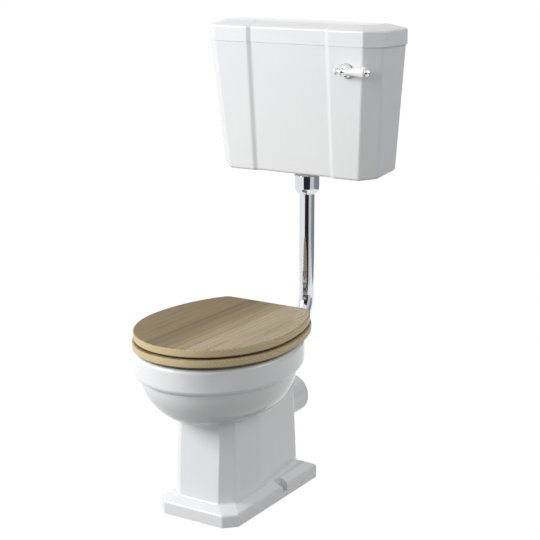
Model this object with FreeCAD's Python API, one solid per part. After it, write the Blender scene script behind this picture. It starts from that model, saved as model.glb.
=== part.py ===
import FreeCAD, Part
import math
import os

# A low level toilet: washdown pan, wooden seat and lid, flush pipe, and a wall cistern with
# its siphon, lever and fill valve. Millimetres, X to the right, Y to the wall, Z up.
# The origin is on the floor, midway between the two floor screw holes.
V = FreeCAD.Vector
X, Y, Z = V(1, 0, 0), V(0, 1, 0), V(0, 0, 1)
SIDES = (-1, 1)

# Clearances between pieces
running_gap = 0.05      # a turning rod in its bore, on the radius
loose_gap = 0.4         # a piece that passes through a hole and must not bind
seat_gap = 4.0          # seat top to lid underside
buffer_height = 8.0     # rim to seat underside
past = 5.0              # how far a bore runs on beyond the face it opens in

# Foot and pedestal
foot_half = 111.0
foot_front = -237.0
foot_back = 159.0
foot_corner = 28.0
foot_edge = 30.0
foot_crown = 42.0
foot_slope = 22.0
foot_round = 8.0
foot_blend = 8.0
floor_hole_x = 93.0
floor_hole_r = 4.5
floor_lug_r = 16.0
floor_lug_z = 14.0
floor_lug_out = 6.0
ped_front_low = -212.0
ped_front_high = -200.0
ped_face_low = 55.0
ped_face_high = 55.0
ped_side_low = 85.0
ped_side_high = 81.0
ped_corner_low = 30.0
ped_corner_high = 26.0
ped_waist_y = -70.0
ped_waist_round = 60.0
ped_back_low = 143.0
ped_back_high = 127.0
ped_back_half = 66.0
ped_height = 250.0
ped_round = 5.0
ped_back_round = 24.0

# Bowl and rim
rim_top = 407.0
rim_band = 62.0
rim_half = 183.0
rim_front = -341.0
rim_back = 135.0
widest_y = -128.0
rim_opening_half = 118.0
rim_opening_front = -280.0
rim_opening_back = 28.0
rim_depth = 34.0
rim_round = 9.0
rim_taper = 9.0
rim_curl = 12.0
rim_step = 2.0
ledge_front = 70.0
ledge_front_half = 118.0
ledge_middle = 112.0
ledge_middle_half = 96.0
ledge_back = 150.0
ledge_back_half = 73.0
ledge_corner = 20.0
china = 12.0
bowl_foot_z = 229.0
bowl_back = 112.0
bowl_shift = 105.0
bowl_fullness = 1.52
bowl_roundness = 3.18
bowl_blend = 14.0
neck_half = 44.0
neck_front = -70.0
neck_back = 36.0
neck_z = 150.0
sump_y = -15.0
sump_z = 92.0
sump_r = 36.0
sump_long = 70.0
weir_y = 98.0

# Waterways of the pan
outlet_z = 190.0
outlet_r = 51.0
outlet_bore_r = 43.0
outlet_end = 212.0
outlet_socket = 60.0
spigot_long = 70.0
spigot_shoulder = 4.0
spigot_root = 60.0
horn_r = 28.0
horn_bore_r = 21.5
horn_end = 200.0

# Seat and lid
seat_half = 187.0
seat_front = -348.0
seat_back = 104.0
seat_bulge = 71.0
seat_thick = 19.0
seat_corner = 24.0
seat_edge = 4.0
seat_hole_edge = 5.0
lid_thick = 20.0
lid_inset = 3.0
seat_hole_half = 116.0
seat_hole_front = -262.0
seat_hole_back = 12.0
hinge_pitch = 150.0
hinge_behind = 13.0
hinge_rod_r = 4.5
knuckle_r = 8.0
leaf_thick = 1.8
leaf_width = 18.0
leaf_long = 45.0
leaf_screw_step = 18.0
screw_r = 1.8
screw_head_r = 3.4
screw_long = 13.0
seat_leaf_behind = 3.0
seat_leaf_x = 33.0
lid_leaf_x = 55.0
rod_past_pillar = 12.0
stud_r = 4.0
stud_tail = 28.0
stud_clear = 3.0
hinge_flange_r = 14.0
hinge_flange = 3.0
hinge_stem_r = 6.5
hinge_eye_r = 9.0
hinge_eye_long = 14.0
hinge_washer = 2.0
wing_collar_r = 9.0
wing_collar = 14.0
wing_span = 30.0
wing_thick = 4.0
wing_drop = 4.0
seat_pad_r = 9.0
seat_pad_angles = (-45.0, 25.0)
lid_pad_r = 7.0
lid_pad_angles = (-40.0, 20.0)

# Flush pipe
pipe_r = 19.0
pipe_wall = 1.2
pipe_y = 287.0
pipe_bend = 75.0
pipe_in_horn = 32.0
horn_z = 365.0
nut_r = 31.0
nut_high = 49.0
nut_lip = 9.0
seal_high = 8.0
cone_wall = 4.0
cone_over_horn = 26.0
cone_slope = 6.0

# Cistern
wall_y = 339.0
tank_base = 762.0
tank_rise = 13.0
tank_top = 1088.6
tank_half_low = 222.4
tank_half_high = 246.2
tank_front_low = 213.6
tank_front_high = 183.1
tank_corner = 36.0
panel_half = 106.0
panel_step = 10.0
panel_depth = 6.0
panel_round = 12.0
tank_round = 9.0
tank_base_round = 7.0
tank_wall = 9.0
pad_r = 42.0
pad_thick = 24.0
wall_hole_pitch = 300.0
wall_hole_r = 4.5
wall_hole_z = 985.0

# Cistern lid
cover_overhang = 6.0
cover_edge = 38.0
cover_crown = 12.0
cover_hip = 38.0
cover_wall = 9.0
cover_lip = 8.0
cover_lip_wall = 6.0
cover_lip_inset = 17.0
cover_round = 6.0

# Flush lever and siphon
lever_x = 164.0
lever_z = 1032.0
rose_r = 18.0
rose_high = 9.0
nut_across = 26.0
nut_thick = 6.0
spindle_r = 5.0
bush_r = 8.0
hub_r = 10.0
hub_half = 12.0
hub_out = 24.0
tie_r = 2.5
handle_long = 54.0
handle_r = 14.0
crank_long = 76.0
crank_droop = 15.0
chamber_r = 42.0
chamber_low = 792.0
chamber_high = 872.0
leg_r = 18.0
leg_wall = 2.5
leg_from_rod = 28.0
crown_z = 950.0
siphon_flange_r = 34.0
siphon_flange = 6.0
siphon_washer_thick = 3.0
back_nut_across = 64.0
lift_rod_r = 2.5
tail_r = 23.9
piston_rise = 4.0
piston_thick = 3.0
piston_hub_r = 7.0
piston_hub = 14.0
piston_hole_r = 6.0
piston_hole_ring = 23.0
rod_eye_r = 7.0
rod_eye_bore = 3.2
rod_eye_thick = 5.0
rod_drop = 24.0
link_r = 2.0
link_half = 11.0
link_bend = 5.0
crank_boss_r = 10.0
crank_boss = 12.0
crank_wide = 8.0
crank_thick = 5.0
crank_tip = 8.0
crank_stop = 4.0
grub_r = 2.0
grub_long = 8.0

# Fill valve
valve_z = 1005.0
valve_tail_r = 10.48
valve_tail = 19.0
valve_shank_r = 10.9
valve_nut = 7.0
valve_washer = 4.0
valve_spout_r = 9.0
valve_nut_across = 30.0
valve_washer_r = 17.0
valve_bore_r = 6.5
pin_r = 2.5
pin_long = 27.0
float_rod_r = 3.0
float_rod_in = 8.0
float_neck_r = 6.0
float_boss = 11.2
float_r = 40.0
float_arm = 96.0
float_droop = 30.0

# Sizes that follow from the ones above
rim_low = rim_top - rim_band
seat_low = rim_top + buffer_height
seat_top = seat_low + seat_thick
lid_low = seat_top + seat_gap
hinge_y = seat_back + hinge_behind
hinge_z = lid_low - 2.0
pipe_top = tank_base - 26.0
nut_top = tank_base - 10.0
nut_low = nut_top - nut_high
pad_low = tank_base - 1.0
pad_high = tank_base + pad_thick
cover_half = tank_half_high + cover_overhang
cover_front = tank_front_high - 2.0
cover_back = wall_y - 2.0
cover_top = tank_top + cover_edge
crank_x = lever_x - crank_long * math.cos(math.radians(crank_droop))
crank_z = lever_z - crank_long * math.sin(math.radians(crank_droop))


def cylinder(r, base, axis, length):
    return Part.makeCylinder(r, length, base, axis)


def box(x0, x1, y0, y1, z0, z1):
    return Part.makeBox(x1 - x0, y1 - y0, z1 - z0, V(x0, y0, z0))


def tube(r_out, r_in, base, axis, length):
    return cylinder(r_out, base, axis, length).cut(cylinder(r_in, base, axis, length))


def turned(profile, base, axis):
    """A turned solid from (distance along the axis, radius) points."""
    points = [V(0, 0, profile[0][0])] + [V(r, 0, d) for d, r in profile] + [V(0, 0, profile[-1][0])]
    clean = [p for i, p in enumerate(points) if i == 0 or (p - points[i - 1]).Length > 1e-6]
    solid = Part.Face(Part.makePolygon(clean + [clean[0]])).revolve(V(0, 0, 0), Z, 360)
    solid.Placement = FreeCAD.Placement(base, FreeCAD.Rotation(Z, axis))
    return solid


def together(shapes):
    return shapes[0].multiFuse(shapes[1:])


def mirrored(right):
    """A closed outline from its right half, listed from front to back."""
    return [(-x, *rest) for x, *rest in right[::-1]] + right


def polygon(points, z):
    corners = [V(x, y, z) for x, y in points]
    return Part.makePolygon(corners + [corners[0]])


def bend(before, corner, after, radius):
    """The start, middle and end of the arc that rounds a corner."""
    a, b = (before - corner).normalize(), (after - corner).normalize()
    half = a.getAngle(b) / 2
    reach = radius / math.tan(half)
    middle = corner + (a + b).normalize() * (radius / math.sin(half) - radius)
    return corner + a * reach, middle, corner + b * reach


def rounded(points, z):
    """A closed outline of straight runs and arcs, from (x, y, corner radius) points."""
    corners = [V(x, y, z) for x, y, _ in points]
    ring = zip(corners[-1:] + corners[:-1], corners, corners[1:] + corners[:1], points)
    arcs = [bend(before, corner, after, point[2]) for before, corner, after, point in ring]
    edges = []
    for i, arc in enumerate(arcs):
        edges += [Part.makeLine(arcs[i - 1][2], arc[0]), Part.Arc(*arc).toShape()]
    return Part.Wire(edges)


def egg(half, front, back, z, widest, count=36):
    """A closed curve of two half ellipses that meet at the widest line."""
    points = []
    for i in range(count):
        t = 2 * math.pi * i / count
        reach = widest - front if math.sin(t) < 0 else back - widest
        points.append(V(half * math.cos(t), widest + reach * math.sin(t), z))
    curve = Part.BSplineCurve()
    curve.interpolate(points, PeriodicFlag=True)
    return Part.Wire(curve.toShape())


def prism(wire, height):
    return Part.Face(wire).extrude(V(0, 0, height))


def edges_where(shape, test):
    return [e for e in shape.Edges if test(e)]


def upright(edge):
    a, b = edge.Vertexes[0].Point, edge.Vertexes[-1].Point
    return abs(b.z - a.z) > 0.8 * (b - a).Length


def at_height(edge, z, tolerance=0.01):
    return abs(edge.BoundBox.ZMin - z) < tolerance and abs(edge.BoundBox.ZMax - z) < tolerance


def swept(points, bend_r, r):
    """A round bar along straight runs joined by arcs, in one plane."""
    edges, start = [], points[0]
    for before, corner, after in zip(points, points[1:], points[2:]):
        arc = bend(before, corner, after, bend_r)
        edges += [Part.makeLine(start, arc[0]), Part.Arc(*arc).toShape()]
        start = arc[2]
    edges.append(Part.makeLine(start, points[-1]))
    spine = Part.Wire(edges)
    ring = Part.Wire(Part.makeCircle(r, points[0], points[1] - points[0]))
    return spine.makePipeShell([ring], True, False)


def hexagon(across, base, axis, thick):
    corner = across / math.sqrt(3)
    points = [(corner * math.cos(math.radians(60 * i)), corner * math.sin(math.radians(60 * i)))
              for i in range(6)]
    solid = prism(polygon(points, 0), thick)
    solid.Placement = FreeCAD.Placement(base, FreeCAD.Rotation(Z, axis))
    return solid


# The pan

def foot():
    right = [(foot_half - foot_corner, foot_front), (foot_half, foot_front + foot_corner),
             (foot_half, foot_back)]
    inner = [(x - foot_slope, y + (foot_slope if y < 0 else -foot_slope)) for x, y in right]
    edge = prism(polygon(mirrored(right), 0), foot_edge)
    slope = Part.makeLoft([polygon(mirrored(right), foot_edge),
                           polygon(mirrored(inner), foot_crown)], True, True)
    solid = edge.fuse(slope).removeSplitter()
    return solid.makeFillet(foot_round, edges_where(solid, lambda e: not at_height(e, 0)))


def pedestal():
    def section(face, corner, side, front, back, z):
        right = [(face, front, ped_round), (side, front + corner, ped_round),
                 (side, ped_waist_y, ped_waist_round), (ped_back_half, back, ped_back_round)]
        return rounded(mirrored(right), z)
    low = section(ped_face_low, ped_corner_low, ped_side_low, ped_front_low, ped_back_low, foot_edge)
    high = section(ped_face_high, ped_corner_high, ped_side_high, ped_front_high, ped_back_high,
                   ped_height)
    return Part.makeLoft([low, high], True, True)


def bowl_sections(inset):
    """The fall from the rim band into the pedestal, as (z, half, front, back, widest)."""
    top = rim_low + rim_step
    drop = top - bowl_foot_z
    edge = rim_taper + rim_step
    rows = []
    for share in (0.0, 0.3, 0.55, 0.76, 0.91, 0.99):
        fall = (1 - share ** bowl_fullness) ** (1 / bowl_roundness)
        half = (rim_half - edge) * fall
        reach = (widest_y - rim_front - edge) * fall
        shift = bowl_shift * (1 - fall)
        rows.append((top - (drop - inset) * share, half - inset, widest_y - reach + inset,
                     bowl_back - shift - inset, widest_y + shift))
    return rows


def bowl_outside():
    return Part.makeLoft([egg(h, f, b, z, w) for z, h, f, b, w in bowl_sections(0.0)], True, False)


def bowl_inside():
    rows = bowl_sections(china)
    walls = [egg(h, f, b, z, w) for z, h, f, b, w in rows[:-1]]
    neck = egg(neck_half, neck_front, neck_back, neck_z, sump_y)
    floor = egg(sump_r, sump_y - sump_long / 2, sump_y + sump_long / 2, sump_z - sump_r, sump_y)
    basin = Part.makeLoft(walls + [neck, floor], True, False)
    z, half, front, back, widest = rows[0]
    under_rim = prism(egg(half, front, back, z, widest), rim_top - rim_depth - z)
    mouth = prism(egg(rim_opening_half, rim_opening_front, rim_opening_back,
                      rim_top - rim_depth - 1, widest_y), rim_depth + 2)
    return [basin, under_rim, mouth]


def top_rounded(solid):
    return solid.makeFillet(rim_round, edges_where(solid, lambda e: at_height(e, rim_top)))


def rim():
    """An upright band whose foot curls in."""
    band_low = rim_low + rim_curl
    band = prism(egg(rim_half, rim_front, rim_back, band_low, widest_y), rim_top - band_low)
    rows = []
    for share in (0.0, 0.4, 0.7, 1.0):
        inset = rim_taper * share ** 2
        rows.append(egg(rim_half - inset, rim_front + inset, rim_back - inset,
                        band_low - rim_curl * share, widest_y))
    return top_rounded(band).fuse(Part.makeLoft(rows, True, False))


def ledge():
    """The tapering shelf behind the rim that carries the seat hinges."""
    right = [(ledge_front_half, ledge_front, ledge_corner),
             (ledge_middle_half, ledge_middle, ledge_corner), (ledge_back_half, ledge_back, ledge_corner)]
    return top_rounded(prism(rounded(mirrored(right), rim_low), rim_band))


def trapway():
    path = [V(0, sump_y - sump_r / 2, sump_z), V(0, sump_y + sump_r / 2, sump_z),
            V(0, weir_y, outlet_z), V(0, outlet_end + past, outlet_z)]
    return swept(path, 1.1 * sump_r, sump_r)


def pedestal_on_foot():
    solid = foot().fuse(pedestal())
    seam = edges_where(solid, lambda e: at_height(e, foot_crown)
                       and e.BoundBox.XMax < ped_side_low and e.BoundBox.XMin > -ped_side_low
                       and e.BoundBox.YMin > ped_front_low and e.BoundBox.YMax < ped_back_low)
    return solid.makeFillet(foot_blend, seam)


def bowl_on_pedestal():
    solid = pedestal_on_foot().fuse(bowl_outside())
    seam = edges_where(solid, lambda e: meets_bowl(e) or across_back(e))
    return solid.makeFillet(bowl_blend, seam)


def meets_bowl(edge):
    """A line where the bowl runs into the pedestal's sides."""
    low, high = edge.BoundBox.ZMin, edge.BoundBox.ZMax
    return low > bowl_foot_z - 1 and high < ped_height + 1 and not at_height(edge, ped_height)


def across_back(edge):
    """The line where the pedestal's flat top meets the back of the bowl."""
    return at_height(edge, ped_height) and edge.BoundBox.XLength > 1.5 * ped_back_half \
        and edge.BoundBox.YMax < ped_back_high - ped_back_round


def pan():
    spigot = cylinder(outlet_r, V(0, spigot_root, outlet_z), Y, outlet_end - spigot_root)
    shoulder = cylinder(outlet_r + spigot_shoulder, V(0, spigot_root, outlet_z), Y,
                        outlet_end - spigot_long - spigot_root)
    horn = cylinder(horn_r, V(0, spigot_root, horn_z), Y, horn_end - spigot_root)
    body = bowl_on_pedestal().multiFuse([rim(), ledge(), spigot, shoulder, horn])
    socket = V(0, outlet_end - outlet_socket, outlet_z)
    cuts = bowl_inside() + [trapway(), cylinder(outlet_bore_r, socket, Y, outlet_socket + past)]
    cuts.append(cylinder(horn_bore_r, V(0, rim_opening_back - past, horn_z), Y, horn_end))
    for side in SIDES:
        hinge_hole = V(side * hinge_pitch / 2, hinge_y, rim_low - past)
        cuts.append(cylinder(stud_r + stud_clear, hinge_hole, Z, rim_band + 2 * past))
        cuts.append(cylinder(floor_hole_r, V(side * floor_hole_x, 0, -past), Z, foot_crown))
        lug = V(side * (floor_hole_x + floor_lug_out), 0, floor_lug_z)
        cuts.append(cylinder(floor_lug_r, lug, Z, foot_crown))
    return body.cut(together(cuts))


# Seat and lid

def board(inset, low, thick):
    curve = egg(seat_half - inset, seat_front + inset, seat_back + seat_bulge - inset, low, widest_y)
    solid = prism(curve, thick)
    limit = seat_back - inset
    wide = 2 * seat_half
    solid = solid.common(box(-wide, wide, 2 * seat_front, limit, low, low + thick))
    corners = edges_where(solid, lambda e: upright(e) and e.BoundBox.YMin > limit - 1)
    solid = solid.makeFillet(seat_corner, corners)
    rims = edges_where(solid, lambda e: at_height(e, low + thick) or at_height(e, low))
    return solid.makeFillet(seat_edge, rims)


def screw(base, axis):
    """A countersunk wood screw: base is the outside of its head, axis points into the wood."""
    taper = screw_head_r - screw_r
    profile = [(0, screw_head_r), (taper, screw_r), (screw_long - taper, screw_r), (screw_long, 0.3)]
    return turned(profile, base, axis)


def screw_places(x, y_near):
    near = leaf_width / 2
    return [(side * x, y_near - step) for side in SIDES for step in (near, near + leaf_screw_step)]


def leaf_screws(x, z):
    return [screw(V(px, py, z), Z) for px, py in screw_places(x, seat_back - seat_edge)]


def knuckle(x):
    start = V(x - leaf_width / 2, hinge_y, hinge_z)
    return tube(knuckle_r, hinge_rod_r + running_gap, start, X, leaf_width)


def rod_clear(shape):
    start = V(-seat_half, hinge_y, hinge_z)
    return shape.cut(cylinder(hinge_rod_r + running_gap, start, X, 2 * seat_half))


def lid_leaf(x):
    half = leaf_width / 2
    plate = box(x - half, x + half, seat_back - leaf_long, hinge_y - hinge_rod_r,
                lid_low - leaf_thick, lid_low)
    return rod_clear(plate.fuse(knuckle(x)))


def seat_leaf(x):
    """A cranked strap: flat under the seat, up behind it, and back to the knuckle."""
    left, right = x - leaf_width / 2, x + leaf_width / 2
    behind = seat_back + seat_leaf_behind
    bent = behind + leaf_thick
    low = seat_low - leaf_thick
    arm_top = hinge_z - leaf_thick
    flat = box(left, right, seat_back - leaf_long, bent, low, seat_low)
    rise = box(left, right, behind, bent, low, arm_top)
    arm = box(left, right, behind, hinge_y - hinge_rod_r, arm_top - leaf_thick, arm_top)
    return rod_clear(flat.multiFuse([rise, arm, knuckle(x)]))


def buffers(r, z, height, places):
    return Part.Compound([cylinder(r, V(x, y, z), Z, height) for x, y in places])


def pad_places(angles):
    """Places midway between the seat's hole and its edge, on both sides."""
    half = (seat_half + seat_hole_half) / 2
    front = (seat_front + seat_hole_front) / 2
    back = (seat_back + seat_bulge + seat_hole_back) / 2
    for angle in angles:
        turn = math.radians(angle)
        reach = widest_y - front if angle < 0 else back - widest_y
        for side in SIDES:
            yield side * half * math.cos(turn), widest_y + reach * math.sin(turn)


def seat():
    hole = prism(egg(seat_hole_half, seat_hole_front, seat_hole_back, seat_low - 1, widest_y + 4),
                 seat_thick + 2)
    solid = board(0.0, seat_low, seat_thick).cut(hole)
    rims = edges_where(solid, lambda e: (at_height(e, seat_top) or at_height(e, seat_low))
                       and e.BoundBox.YMax < seat_hole_back + 1 and e.BoundBox.XMax < seat_hole_half + 1)
    solid = solid.makeFillet(seat_hole_edge, rims)
    return solid.cut(together(leaf_screws(seat_leaf_x, seat_low - leaf_thick)))


def seat_lid():
    solid = board(lid_inset, lid_low, lid_thick)
    return solid.cut(together(leaf_screws(lid_leaf_x, lid_low - leaf_thick)))


def leaves(make, x, z):
    pair = [make(side * x) for side in SIDES]
    tools = together(leaf_screws(x, z))
    return Part.Compound([leaf.cut(tools) for leaf in pair])


def hinge_pillar(side):
    x = side * hinge_pitch / 2
    low = rim_top + hinge_washer
    flange = cylinder(hinge_flange_r, V(x, hinge_y, low), Z, hinge_flange)
    stem = cylinder(hinge_stem_r, V(x, hinge_y, low), Z, hinge_z - low)
    eye_start = V(x - hinge_eye_long / 2, hinge_y, hinge_z)
    eye = cylinder(hinge_eye_r, eye_start, X, hinge_eye_long)
    solid = flange.multiFuse([stem, eye])
    return solid.cut(cylinder(hinge_rod_r, eye_start, X, hinge_eye_long)).cut(hinge_stud(side))


def hinge_stud(side):
    start = V(side * hinge_pitch / 2, hinge_y, rim_low - stud_tail)
    return cylinder(stud_r, start, Z, stud_tail + rim_band + buffer_height)


def washer(side, z):
    return tube(hinge_flange_r, stud_r, V(side * hinge_pitch / 2, hinge_y, z), Z, hinge_washer)


def wing_nut(side):
    x, top = side * hinge_pitch / 2, rim_low - hinge_washer
    low = top - wing_collar
    collar = cylinder(wing_collar_r, V(x, hinge_y, low), Z, wing_collar)
    wing = box(x - wing_span / 2, x + wing_span / 2, hinge_y - wing_thick / 2, hinge_y + wing_thick / 2,
               low - wing_drop, top - wing_drop)
    return collar.fuse(wing).cut(hinge_stud(side))


# Flush pipe

def flush_pipe():
    path = [V(0, pipe_y, pipe_top), V(0, pipe_y, horn_z), V(0, horn_end - pipe_in_horn, horn_z)]
    return swept(path, pipe_bend, pipe_r).cut(swept(path, pipe_bend, pipe_r - pipe_wall))


def flush_nut():
    profile = [(0, 0.71 * nut_r), (3, 0.81 * nut_r), (8, 0.92 * nut_r), (15, nut_r), (nut_high, nut_r)]
    solid = turned(profile, V(0, pipe_y, nut_low), Z)
    solid = solid.cut(cylinder(pipe_r + loose_gap, V(0, pipe_y, nut_low), Z, nut_high))
    return solid.cut(cylinder(tail_r, V(0, pipe_y, nut_low + nut_lip), Z, nut_high))


def pipe_seal():
    return tube(tail_r, pipe_r, V(0, pipe_y, nut_low + nut_lip), Z, seal_high)


def flush_cone():
    start = horn_end - cone_over_horn
    long = pipe_y - pipe_bend - 1 - start
    wide = horn_r + cone_wall
    profile = [(0, wide), (cone_over_horn, wide), (cone_over_horn + cone_slope, pipe_r + cone_wall + 1),
               (long, pipe_r + cone_wall)]
    solid = turned(profile, V(0, start, horn_z), Y)
    solid = solid.cut(cylinder(horn_r, V(0, start, horn_z), Y, cone_over_horn + 1))
    return solid.cut(cylinder(pipe_r, V(0, start, horn_z), Y, long))


# Cistern

def tank_outline(half, front, z):
    right = [(panel_half, front + panel_depth, panel_round), (panel_half + panel_step, front, panel_round),
             (half - tank_corner, front, tank_round), (half, front + tank_corner, tank_round),
             (half, wall_y + tank_round / 2, tank_round)]
    return rounded(mirrored(right), z)


def behind_wall():
    return box(-cover_half, cover_half, wall_y, wall_y + 2 * tank_round, tank_base - tank_rise, cover_top)


def below_base(lift):
    """Everything under the sloping base, raised by a floor thickness."""
    y0, y1 = tank_front_low, wall_y
    reach = 40.0
    rise = tank_rise * reach / (y1 - y0)
    x = -cover_half
    side = [V(x, y0 - reach, tank_base - reach), V(x, y1 + reach, tank_base - reach),
            V(x, y1 + reach, tank_base + tank_rise + rise + lift),
            V(x, y0 - reach, tank_base - rise + lift)]
    return Part.Face(Part.makePolygon(side + [side[0]])).extrude(V(2 * cover_half, 0, 0))


def tank_outside():
    low = tank_outline(tank_half_low, tank_front_low, tank_base)
    high = tank_outline(tank_half_high, tank_front_high, tank_top)
    solid = Part.makeLoft([low, high], True, True).cut(below_base(0.0)).cut(behind_wall())
    bottom = edges_where(solid, lambda e: e.BoundBox.ZMax < tank_base + tank_rise + 0.5)
    return solid.makeFillet(tank_base_round, bottom)


def tank_hollow():
    def octagon(half, front, z):
        right = [(half - tank_corner, front, tank_round), (half, front + tank_corner, tank_round),
                 (half, wall_y - tank_wall, tank_round)]
        return rounded(mirrored(right), z)
    inset = panel_depth + tank_wall
    low = octagon(tank_half_low - tank_wall, tank_front_low + inset, tank_base)
    high = octagon(tank_half_high - tank_wall, tank_front_high + inset, tank_top)
    return Part.makeLoft([low, high], True, True).cut(below_base(tank_wall + 2.0))


def tank():
    pad = cylinder(pad_r, V(0, pipe_y, pad_low), Z, pad_high - pad_low)
    solid = tank_outside().cut(tank_hollow()).fuse(pad)
    deep = 2 * tank_corner
    cuts = [cylinder(tail_r + loose_gap, V(0, pipe_y, pad_low), Z, deep),
            cylinder(bush_r + loose_gap, V(lever_x, tank_front_high, lever_z), Y, deep),
            cylinder(valve_shank_r + loose_gap, V(-tank_half_high, pipe_y, valve_z), X, deep)]
    for side in SIDES:
        hole = V(side * wall_hole_pitch / 2, wall_y - 2 * tank_wall, wall_hole_z)
        cuts.append(cylinder(wall_hole_r, hole, Y, 3 * tank_wall))
    return solid.cut(together(cuts))


def cover_outline(inset, z, recess):
    half, front, corner = cover_half - inset, cover_front + inset, tank_corner + 5 - 0.4 * inset
    right = [(panel_half, front + recess), (panel_half + panel_step, front), (half - corner, front),
             (half, front + corner), (half, cover_back - inset)]
    return polygon(mirrored(right), z)


def cover_ring(inset):
    """The eight-sided line of the lip inside the cistern's mouth."""
    half, front = cover_half - inset, cover_front + panel_depth + inset
    right = [(half - tank_corner, front), (half, front + tank_corner), (half, cover_back - inset)]
    return polygon(mirrored(right), tank_top - cover_lip)


def tank_cover():
    edge = Part.makeLoft([cover_outline(0, tank_top, panel_depth),
                          cover_outline(0, cover_top, panel_depth)], True, True)
    hip = Part.makeLoft([cover_outline(0, cover_top, panel_depth),
                         cover_outline(cover_hip, cover_top + cover_crown, panel_depth)], True, True)
    solid = edge.fuse(hip).removeSplitter()
    solid = solid.makeFillet(cover_round, edges_where(solid, lambda e: not at_height(e, tank_top)))
    lip = prism(cover_ring(cover_lip_inset), cover_lip + 2)
    hollow = prism(cover_ring(cover_lip_inset + cover_lip_wall), cover_lip + cover_edge - cover_wall)
    return solid.fuse(lip).cut(hollow)


# Siphon

siphon_x = crank_x + 2.0


def siphon_body():
    flange_z = pad_high + siphon_washer_thick
    leg = siphon_x - leg_from_rod
    tail_low = nut_low + nut_lip + seal_high
    turn = leg / 2 - 0.5
    run = [V(leg, pipe_y, chamber_high - piston_hub / 2), V(leg, pipe_y, crown_z), V(0, pipe_y, crown_z),
           V(0, pipe_y, flange_z)]
    bore_r = leg_r - leg_wall
    high = chamber_high - chamber_low
    outer = [swept(run, turn, leg_r), cylinder(chamber_r, V(siphon_x, pipe_y, chamber_low), Z, high),
             cylinder(siphon_flange_r, V(0, pipe_y, flange_z), Z, siphon_flange),
             cylinder(tail_r, V(0, pipe_y, tail_low), Z, flange_z - tail_low)]
    inner = [swept(run, turn, bore_r),
             cylinder(chamber_r - leg_wall, V(siphon_x, pipe_y, chamber_low), Z, high - leg_wall),
             cylinder(pipe_r + loose_gap, V(0, pipe_y, nut_low), Z, pipe_top + 2 - nut_low),
             cylinder(bore_r, V(0, pipe_y, nut_low), Z, flange_z + siphon_flange - nut_low),
             cylinder(lift_rod_r + loose_gap, V(siphon_x, pipe_y, chamber_low), Z, 2 * high)]
    return together(outer).removeSplitter().cut(together(inner))


def siphon_washer():
    return tube(siphon_flange_r, tail_r, V(0, pipe_y, pad_high), Z, siphon_washer_thick)


def siphon_nut():
    base = V(0, pipe_y, nut_top)
    thick = pad_low - nut_top
    return hexagon(back_nut_across, base, Z, thick).cut(cylinder(tail_r, base, Z, thick))


def piston():
    base = V(siphon_x, pipe_y, chamber_low + piston_rise)
    plate = cylinder(chamber_r - 3, base, Z, piston_thick)
    hub = cylinder(piston_hub_r, base, Z, piston_hub)
    cuts = [cylinder(lift_rod_r, base, Z, piston_hub)]
    for i in range(6):
        around = FreeCAD.Rotation(Z, 60 * i).multVec(X)
        cuts.append(cylinder(piston_hole_r, base + around * piston_hole_ring, Z, piston_thick))
    return plate.fuse(hub).cut(together(cuts))


def diaphragm():
    base = V(siphon_x, pipe_y, chamber_low + piston_rise + piston_thick)
    return tube(chamber_r - 4, piston_hub_r, base, Z, 1.2)


rod_top = crank_z - rod_drop


def lift_rod():
    low = chamber_low + piston_rise
    rod = cylinder(lift_rod_r, V(siphon_x, pipe_y, low), Z, rod_top - low)
    start = V(siphon_x, pipe_y - rod_eye_thick / 2, rod_top + rod_eye_thick)
    eye = cylinder(rod_eye_r, start, Y, rod_eye_thick)
    return rod.fuse(eye).cut(cylinder(rod_eye_bore, start, Y, rod_eye_thick))


def lift_link():
    """A closed wire loop: through the rod's eye, up, and over the crank."""
    low = rod_top + rod_eye_thick + rod_eye_bore - link_r
    high = crank_z + crank_thick / 2 + 3 * link_r
    near, far = pipe_y - link_half, pipe_y + link_half
    path = [(pipe_y, low), (far, low), (far, high), (near, high), (near, low), (pipe_y, low)]
    return swept([V(siphon_x, y, z) for y, z in path], link_bend, link_r)


# Flush lever, turning about a line along Y

def tank_at(z, low, high):
    """A size of the tapering cistern at a height, from its sizes at the base and the top."""
    return low + (high - low) * (z - tank_base) / (tank_top - tank_base)


face_y = tank_at(lever_z, tank_front_low, tank_front_high)
rose_y = face_y - 4.0
inner_y = face_y + panel_depth + tank_wall
nut_y = inner_y + 4.0
hub_y = face_y - hub_out


def lever_gasket():
    ring = tube(rose_r - 1, bush_r, V(lever_x, rose_y, lever_z), Y, inner_y - rose_y)
    return ring.cut(tank_outside())


def lever_inner_washer():
    ring = tube(nut_across / 2 + 2, bush_r, V(lever_x, face_y, lever_z), Y, nut_y - face_y)
    return ring.common(tank_hollow())


def lever_rose():
    profile = [(0, rose_r), (2.5, rose_r), (6.5, rose_r - 4), (rose_high, rose_r - 9)]
    solid = turned(profile, V(lever_x, rose_y, lever_z), -Y)
    bore = cylinder(spindle_r + running_gap, V(lever_x, rose_y - rose_high, lever_z), Y, rose_high)
    return solid.cut(bore)


def lever_bush():
    long = nut_y + 2 * nut_thick - rose_y
    return tube(bush_r, spindle_r + running_gap, V(lever_x, rose_y, lever_z), Y, long)


def lever_nut():
    base = V(lever_x, nut_y, lever_z)
    return hexagon(nut_across, base, Y, nut_thick).cut(cylinder(bush_r, base, Y, nut_thick))


def lever_spindle():
    return cylinder(spindle_r, V(lever_x, hub_y, lever_z), Y, pipe_y + crank_boss / 2 - hub_y)


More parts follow.
